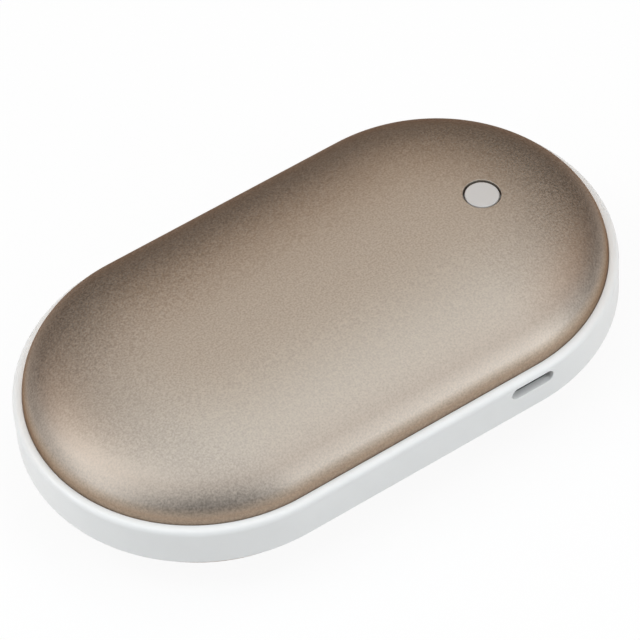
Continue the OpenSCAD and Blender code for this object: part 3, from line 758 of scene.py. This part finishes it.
def dress_nodes(materials):
    """Gives each carried-over node the material of its own kind."""
    for look, nodes in NODES_BY_LOOK.items():
        for node in nodes:
            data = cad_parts[node].data
            data.materials.clear()
            data.materials.append(materials[look])


def toward(azimuth_deg, elevation_deg):
    """The direction from the object to a camera or lamp. Azimuth 0 is in front, at -Y."""
    a, e = math.radians(azimuth_deg), math.radians(elevation_deg)
    return Vector((math.sin(a) * math.cos(e), -math.cos(a) * math.cos(e), math.sin(e)))


# What the camera and the lamps look at
TARGET = Vector((0, 0, BAND_TOP))

# The photograph's camera, fitted to the band's outline in it: where it stands round the target,
# and its picture in pixels
PHOTO_SIZE = 640
AZIMUTH_DEG = -30.49
ELEVATION_DEG = 49.76
ROLL_DEG = 4.50
DISTANCE = 693.3 * MM
FOCAL_PX = 4348
CENTRE_PX = (318.05, 318.15)
SENSOR_MM = 36
CLIP_START = 0.01
CLIP_END = 20


def camera():
    """The photograph's camera, which is a little rolled and shifted."""
    a, roll = math.radians(AZIMUTH_DEG), math.radians(ROLL_DEG)
    back = toward(AZIMUTH_DEG, ELEVATION_DEG)
    right = Vector((math.cos(a), math.sin(a), 0))
    up = back.cross(right)
    rolled_right = math.cos(roll) * right - math.sin(roll) * up
    rolled_up = math.sin(roll) * right + math.cos(roll) * up
    data = bpy.data.cameras.new("camera")
    data.sensor_width = SENSOR_MM
    data.lens = FOCAL_PX / PHOTO_SIZE * SENSOR_MM
    data.shift_x = (PHOTO_SIZE / 2 - CENTRE_PX[0]) / PHOTO_SIZE
    data.shift_y = (CENTRE_PX[1] - PHOTO_SIZE / 2) / PHOTO_SIZE
    data.clip_start = CLIP_START
    data.clip_end = CLIP_END
    obj = added("camera", data)
    turn = Matrix((rolled_right, rolled_up, back)).transposed().to_4x4()
    obj.matrix_world = Matrix.Translation(TARGET + DISTANCE * back) @ turn
    bpy.context.scene.camera = obj


# Round soft boxes that stand in rings round the object, as in a light tent: for each ring its
# height in degrees, its colour, and watts by degrees to the right of the camera. The warm ring is
# behind the object. The room round them is dim. The watts are rounded from the fit that the
# shell's colours come from.
LAMP_SIZE = 0.5
LAMP_DISTANCE = 1.0
COOL = (0.90, 0.96, 1.0)
WARM = (1.0, 0.55, 0.2)
LAMP_RINGS = [
    (20, COOL, {60: 2.6, 270: 0.4, 300: 1.8}),
    (44, COOL, {60: 1.6, 90: 0.7, 270: 2.9, 300: 0.5, 330: 0.3}),
    (68, COOL, {0: 0.6, 60: 1.1, 120: 1.3, 180: 1.3, 300: 1.8}),
    (44, WARM, {120: 0.6, 180: 0.6, 240: 0.6}),
]
ROOM_LIGHT = 0.05


def lamp(name, turn_deg, up_deg, watts, color):
    """A round soft box that faces the object."""
    back = toward(AZIMUTH_DEG + turn_deg, up_deg)
    data = bpy.data.lights.new(name, "AREA")
    data.shape = "DISK"
    data.size = LAMP_SIZE
    data.energy = watts
    data.color = color
    obj = added(name, data)
    obj.location = TARGET + LAMP_DISTANCE * back
    obj.rotation_euler = back.to_track_quat("Z", "Y").to_euler()


def studio():
    """The soft boxes, in a dim room."""
    world = bpy.data.worlds.new("room")
    world.use_nodes = True
    background = world.node_tree.nodes["Background"]
    background.inputs["Color"].default_value = (1, 1, 1, 1)
    background.inputs["Strength"].default_value = ROOM_LIGHT
    bpy.context.scene.world = world
    for up_deg, color, watts_by_turn in LAMP_RINGS:
        for turn_deg, watts in watts_by_turn.items():
            lamp(f"soft_box_{turn_deg}_{up_deg}", turn_deg, up_deg, watts, color)


def seen_directly(tree):
    """1 for the rays by which the background shows: to the camera, in gloss and through glass."""
    path = tree.nodes.new("ShaderNodeLightPath")
    total = path.outputs["Is Camera Ray"]
    for key in ("Is Glossy Ray", "Is Transmission Ray"):
        total = math_node(tree, "MAXIMUM", total, path.outputs[key])
    return total


# The floor reaches far past the picture. A share of its look is plain white, and the rest is
# lit and keeps the shadow.
FLOOR_HALF = 20.0
FLOOR_COLOR = (0.8, 0.8, 0.8)
FLOOR_WHITE_SHARE = 0.92


def floor():
    """A plain white floor that shows white to the camera and keeps a faint shadow."""
    data = bpy.data.meshes.new("floor")
    corners = [(-1, -1), (1, -1), (1, 1), (-1, 1)]
    data.from_pydata([(FLOOR_HALF * x, FLOOR_HALF * y, 0) for x, y in corners], [], [(0, 1, 2, 3)])
    obj = added("floor", data)
    material, tree, bsdf, _ = shader("white_floor", FLOOR_COLOR, 0.9)
    output = tree.nodes["Material Output"]
    white = tree.nodes.new("ShaderNodeEmission")
    white.inputs["Color"].default_value = (1, 1, 1, 1)
    mostly = math_node(tree, "MULTIPLY", seen_directly(tree), FLOOR_WHITE_SHARE)
    mix = tree.nodes.new("ShaderNodeMixShader")
    tree.links.new(mostly, mix.inputs["Fac"])
    tree.links.new(bsdf.outputs["BSDF"], mix.inputs[1])
    tree.links.new(white.outputs["Emission"], mix.inputs[2])
    tree.links.new(mix.outputs["Shader"], output.inputs["Surface"])
    data.materials.append(material)


bpy.context.scene.view_settings.view_transform = "Standard"
camera()
studio()
floor()

metal = anodised_metal()
white = satin_plastic("white_plastic", BAND_COLOR, 0.38)
pieces = [
    (shell("upper_shell", True, True, metal), "case", "top_shell", "anodised_shell"),
    (shell("lower_shell", False, False, metal), "case", "bottom_shell", "anodised_shell"),
    (band("white_band", white), "case", "middle_frame", "band"),
    (button("push_button", milky_plastic()), "button", "power_button", "button"),
]
for piece, body, node, slot in pieces:
    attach(piece, body)
    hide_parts(node)

inner_materials = {look: inner_material(look, *numbers) for look, numbers in INNER_LOOKS.items()}
# A black ring in the socket's pocket: painted shade deep in the slot
slot_shade = slot_shade_ring("socket_slot_shade", inner_materials["slot_shade_black"])
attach(slot_shade, "case")
dress_nodes(inner_materials)
